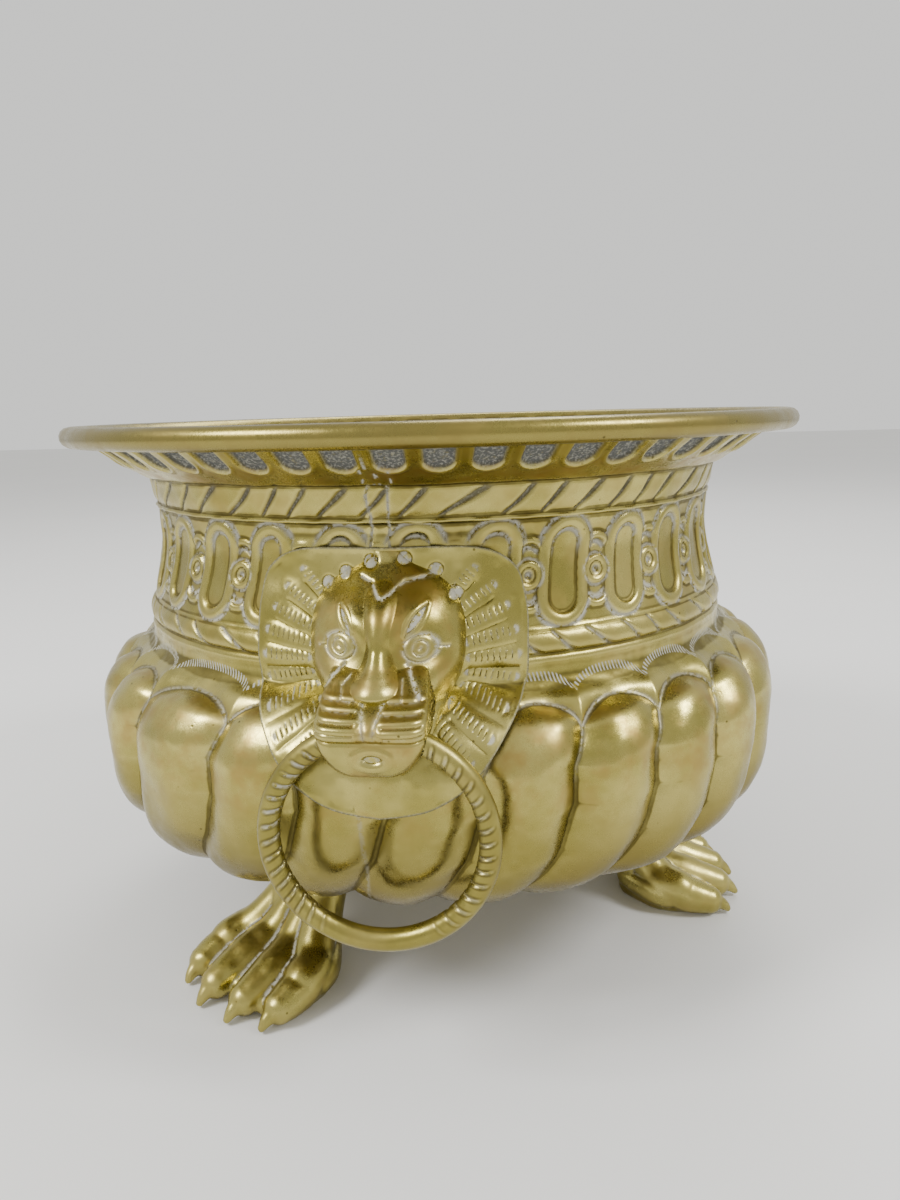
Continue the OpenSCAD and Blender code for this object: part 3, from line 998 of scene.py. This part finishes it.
def build_mask(material):
    """Both masks: the front one as a closed sheet with holes for its ring, and its twin."""
    around, rows = 560, 190
    x, z, edge = mask_grid(around, rows)
    surface, t = lion_surface(x, z)
    cut, dry = face_cuts(x, z, np.zeros_like(x), np.zeros_like(x))
    cut, dry = mouth_cuts(x, z, cut, dry)
    cut, dry = mane_cuts(x, z, cut, dry, np.where(t < 1, 0, np.minimum(edge, 6)))
    points = np.stack([x, -surface, z], axis=-1)
    lumps = 0.6 * noise(points, 10, 31) + 0.3 * noise(points, 4.5, 32)
    lumps = lumps * (1 - 0.6 * smoothstep(t, 1, 0.9)) * smoothstep(edge, 0, 3)
    points[..., 1] += (cut - lumps) * smoothstep(edge, 0, 1.5)

    # The rings, and a fan of triangles that closes the innermost one
    spots = np.concatenate([points.reshape(-1, 3), points[0].mean(axis=0)[None]])
    ring = np.arange(around)
    fan = np.stack([np.full(around, rows * around), (ring + 1) % around, ring], axis=1)
    faces = open_ring_holes(spots, quads(rows, around, False, True)[:, ::-1])
    corners = np.concatenate([faces.ravel(), fan.ravel()])
    used, corners = np.unique(corners, return_inverse=True)
    faces = corners[:-fan.size].reshape(-1, 4)
    fan = corners[-fan.size:].reshape(-1, 3)
    mask = mesh_object("lion_mask_front", spots[used], faces, fan[:, ::-1])
    store(mask, "residue", np.append(dry, 0)[used])
    # Dark line along the plate's edge: a dark joint and a painted shadow of the edge
    store(mask, "dark_fill_and_shade", np.append(smoothstep(edge, 0.9, 0.2) * 0.7, 0)[used])
    store(mask, "patina", np.append(smoothstep(t, 1.02, 0.8), 1)[used])

    sheet = mask.modifiers.new("sheet", "SOLIDIFY")
    sheet.thickness = SHEET * MM
    sheet.offset = -1
    use_modifiers(mask)
    store_hollows(mask, 5, 0.22)
    place(mask, "pot", ["mask_front"], "mask_brass", material)
    back = turned_copy(mask, "lion_mask_back", 180)
    place(back, "pot", ["mask_back"], "mask_brass", material)


# ------ rings
def build_ring(name, body, node, side, material):
    """A closed bar ring with slanting notches round its inner half; side is -1 at the back."""
    around, section, notches = 900, 56, 44
    theta, phi = np.meshgrid(np.linspace(0, 360, around, endpoint=False),
                             np.linspace(-180, 180, section, endpoint=False), indexing="ij")
    phase = theta * notches / 360 + 0.004 * phi + 0.12 * np.sin(np.radians(theta * 5))
    across = np.abs(phase % 1 - 0.5) * 5.8
    notched = smoothstep(np.abs(phi), 50, 95) * smoothstep(np.abs(turn_between(theta, 270)), 22, 60)
    groove = bell(across, 0.7) * notched
    ridge = bell(across - 1.3, 0.6) * notched
    radius = BAR_R - 0.62 * groove + 0.05 * ridge - 0.06
    out = RING_R + radius * np.cos(np.radians(phi))
    points = np.stack([out * np.cos(np.radians(theta)),
                       -PIVOT_Y - radius * np.sin(np.radians(phi)),
                       out * np.sin(np.radians(theta)) + PIVOT_H - RING_DROP], axis=-1)
    wear = 0.1 * noise(points, 6, 41) + 0.12 * noise(points, 22, 42)
    points[..., 1] += wear * np.sin(np.radians(phi))
    points = points.reshape(-1, 3) * [side, side, 1]
    ring = mesh_object(name, points, quads(around, section, True, True))
    store_hollows(ring, 3, 0.16)
    dry = 0.35 + 0.65 * smoothstep(theta, 95, 125) * smoothstep(theta, 190, 160)
    store_finish(ring, 0.35, (groove * dry).ravel())
    place(ring, body, [node], "ring_brass", material)


# ------ paws
# Claw tips: distance from the pot's axis, sideways offset
CLAW_TIPS = [(157.6, 26.9), (163.6, 10.2), (164.4, -9.2), (158.2, -27.3)]
LONGEST_CLAW = 164.5
PAW_VOXEL = 0.8


def tube(knots, sides=24, steps=6):
    """A closed tube with round ends through knots [u, v, h, radius]."""
    path = spline(knots, steps)
    centre, radius = path[:, :3], path[:, 3]
    ahead = np.gradient(centre, axis=0)
    ahead /= np.linalg.norm(ahead, axis=1)[:, None]
    spots, sizes, aims = list(centre), list(radius), list(ahead)
    for cap in np.radians([20, 40, 60, 80]):
        spots.insert(0, centre[0] - ahead[0] * radius[0] * math.sin(cap))
        spots.append(centre[-1] + ahead[-1] * radius[-1] * math.sin(cap))
        sizes.insert(0, radius[0] * math.cos(cap))
        sizes.append(radius[-1] * math.cos(cap))
        aims.insert(0, ahead[0])
        aims.append(ahead[-1])
    across = np.cross(aims, [0, 1, 0])
    across /= np.linalg.norm(across, axis=1)[:, None]
    up = np.cross(across, aims)
    turn = np.radians(np.linspace(0, 360, sides, endpoint=False))[None, :, None]
    circle = across[:, None] * np.cos(turn) + up[:, None] * np.sin(turn)
    rings = np.array(spots)[:, None] + np.array(sizes)[:, None, None] * circle
    points = np.concatenate([rings.reshape(-1, 3), [spots[0]], [spots[-1]]])
    first = np.arange(sides)
    following = (first + 1) % sides
    size = len(spots) * sides
    start = np.stack([np.full(sides, size), following, first], axis=1)
    end = np.stack([np.full(sides, size + 1), first + size - sides, following + size - sides], axis=1)
    return points, quads(len(spots), sides, False, True), np.concatenate([start, end])


def joined(parts):
    """Several closed shapes as the arrays of one mesh."""
    points, faces, ends, base = [], [], [], 0
    for p, f, e in parts:
        points.append(p)
        faces.append(f + base)
        ends.append(e + base)
        base += len(p)
    return np.concatenate(points), np.concatenate(faces), np.concatenate(ends)


def paw_parts():
    """The ankle, sole, toes and claws of a paw that points along +X."""
    body = []
    for s in (-1, 1):
        body.append(tube([[93, s * 8, 58, 11.5], [97, s * 8.5, 45, 11], [104, s * 9.5, 30, 11.5],
                          [110, s * 12, 18, 12], [116, s * 15, 10, 10]]))
        body.append(tube([[108, s * 13, 6.5, 8], [122, s * 23, 7.5, 9.5], [138, s * 25, 6.5, 8]]))
        body.append(tube([[107, s * 15, 12, 8], [118, s * 25, 11, 8.5], [125, s * 28, 10, 8]]))
    body.append(tube([[108, 0, 9, 10], [124, 0, 9, 11], [140, 0, 6, 7]]))
    for v in (-18, 0, 18):
        body.append(tube([[104, v * 0.5, 30, 8], [113, v * 0.65, 18, 9], [126, v * 0.95, 9.5, 8.8],
                          [139, v, 7, 7.2], [146, v, 5.4, 5.2]]))
    for tip, v in CLAW_TIPS:
        back = LONGEST_CLAW - tip
        body.append(tube([[95, v * 0.42, 52, 6.5], [102, v * 0.45, 38, 7.5], [109, v * 0.55, 28, 8.4],
                          [118, v * 0.74, 18, 9.4], [126 - back / 3, v * 0.9, 13.6, 10.2],
                          [134 - back / 2, v * 0.98, 11.8, 10.0], [141 - back, v * 1.0, 9.8, 9.5],
                          [148 - back, v * 1.02, 8.4, 8.5], [152.5 - back, v * 1.02, 7.6, 7.5]]))
        body.append(tube([[149 - back, v * 1.02, 8.6, 4.6], [156 - back, v * 1.02, 7.4, 4.0],
                          [160.2 - back, v * 1.01, 5.0, 3.0], [162.6 - back, v, 2.8, 1.9]], steps=4))
    return joined(body)


def build_paws(material):
    """Three cast paws: their parts melted into one skin, cut to the wall and cored behind."""
    paw = mesh_object("paw_foot_right", *paw_parts())
    voxels = paw.modifiers.new("join", "REMESH")
    voxels.mode = "VOXEL"
    voxels.voxel_size = PAW_VOXEL * MM
    use_modifiers(paw)
    spots = neighbour_mean(paw, vertices(paw), 1)
    skin = wall_skin(GAP + 0.1)
    skin = skin[:np.argmax(skin[:, 0])]
    ceiling = np.interp(np.hypot(spots[:, 0], spots[:, 1]), skin[:, 0], skin[:, 1])
    spots[:, 2] = np.minimum(spots[:, 2], ceiling)
    spots = spots + 0.14 * noise(spots, 4, 51)[:, None] * [0.5, 0.5, 1]
    spots[:, 2] = np.clip(spots[:, 2], 0, ceiling)
    set_vertices(paw, spots)

    core = mesh_object("core", *tube([[112, 0, -6, 12], [106, 0, 12, 11], [97, 0, 33, 8]]))
    cutter = paw.modifiers.new("core", "BOOLEAN")
    cutter.operation = "DIFFERENCE"
    cutter.solver = "EXACT"
    cutter.object = core
    use_modifiers(paw)
    bpy.data.objects.remove(core)

    hollow = store_hollows(paw, 6, 0.5)
    sole = smoothstep(vertices(paw)[:, 2], 1.6, 0.6)
    residue = np.clip(smoothstep(hollow, 0.18, 0.55) * 0.9 + sole * 0.5, 0, 1)
    store_finish(paw, 0.5, residue)
    feet = [paw] + [turned_copy(paw, f"paw_{FOOT_NAMES[k]}", 120 * k + FOOT_TURN) for k in (1, 2)]
    paw.data.transform(Matrix.Rotation(math.radians(FOOT_TURN), 4, "Z"))
    for foot, node in zip(feet, FOOT_NAMES):
        place(foot, "pot", [node], "foot_brass", material)


# ------ studio
# Soft lights: place and aim in metres, size, watts
LIGHTS = [
    [(-1.2, -0.9, 1.5), (0, 0, 0.15), 0.7, 34],
    [(1.4, -0.5, 1.5), (0, 0, 0.15), 0.6, 24],
    [(0.2, 1.4, 1.9), (0, 0, 0.2), 1.0, 18],
]
FLOOR_TONES = [(0.74, 0.735, 0.72, 1), (0.78, 0.775, 0.76, 1)]
SKY = (1.0, 1.0, 0.975, 1)
SKY_STRENGTH = 0.95
LENS = 26.0
SENSOR = 36
# The camera: its bearing, its distance from the pot's axis and its height, and the
# directions of its right and its top
CAMERA_BEARING = -82.5
CAMERA_REACH = 465.1
CAMERA_H = 264.2
CAMERA_RIGHT = (0.99366, 0.10905, -0.02723)
CAMERA_UP = (0.00283, 0.21794, 0.97596)


def build_floor():
    """A plain pale floor."""
    bpy.ops.mesh.primitive_plane_add(size=14, location=(0, 0, 0))
    floor = bpy.context.object
    floor.name = "floor"
    n = Nodes("floor")
    n.put("Base Color", n.mix(n.noise(3.0), *FLOOR_TONES))
    n.put("Roughness", 0.75)
    floor.data.materials.append(n.material)


def build_lights():
    """A pale sky all round and three softboxes."""
    world = bpy.data.worlds.new("studio")
    world.use_nodes = True
    sky = world.node_tree.nodes["Background"]
    sky.inputs["Color"].default_value = SKY
    sky.inputs["Strength"].default_value = SKY_STRENGTH
    bpy.context.scene.world = world
    for k, (spot, aim, size, watts) in enumerate(LIGHTS):
        data = bpy.data.lights.new(f"softbox_{k}", "AREA")
        data.size = size
        data.energy = watts
        data.shape = "DISK"
        lamp = bpy.data.objects.new(f"softbox_{k}", data)
        lamp.location = spot
        lamp.rotation_euler = (Vector(aim) - Vector(spot)).to_track_quat("-Z", "Y").to_euler()
        bpy.context.scene.collection.objects.link(lamp)


def build_camera():
    """The camera, which looks from a little right of the front mask."""
    data = bpy.data.cameras.new("camera")
    data.lens = LENS
    data.sensor_width = SENSOR
    camera = bpy.data.objects.new("camera", data)
    bearing = math.radians(CAMERA_BEARING)
    spot = (CAMERA_REACH * math.cos(bearing), CAMERA_REACH * math.sin(bearing), CAMERA_H)
    camera.location = Vector(spot) * MM
    right, up = Vector(CAMERA_RIGHT), Vector(CAMERA_UP)
    back = right.cross(up).normalized()
    turn = Matrix((right, back.cross(right).normalized(), back)).transposed()
    camera.rotation_euler = turn.to_euler()
    bpy.context.scene.collection.objects.link(camera)
    bpy.context.scene.camera = camera


build_wall(aged_brass("wall_brass", chased=True, orange=0.8))
build_pan(aged_brass("pan_brass", shine=0.34))
build_mask(aged_brass("mask_brass", orange=0.65))
ring_brass = aged_brass("ring_brass", shine=0.29)
build_ring("ring_handle_front", "front_handle", "ring_front", 1, ring_brass)
build_ring("ring_handle_back", "back_handle", "ring_back", -1, ring_brass)
build_paws(aged_brass("foot_brass", shine=0.31))
finish_cad_node("rim_wire", iron_wire())
finish_cad_node("foot_rivets", aged_brass("rivet_brass"))
build_floor()
build_lights()
build_camera()
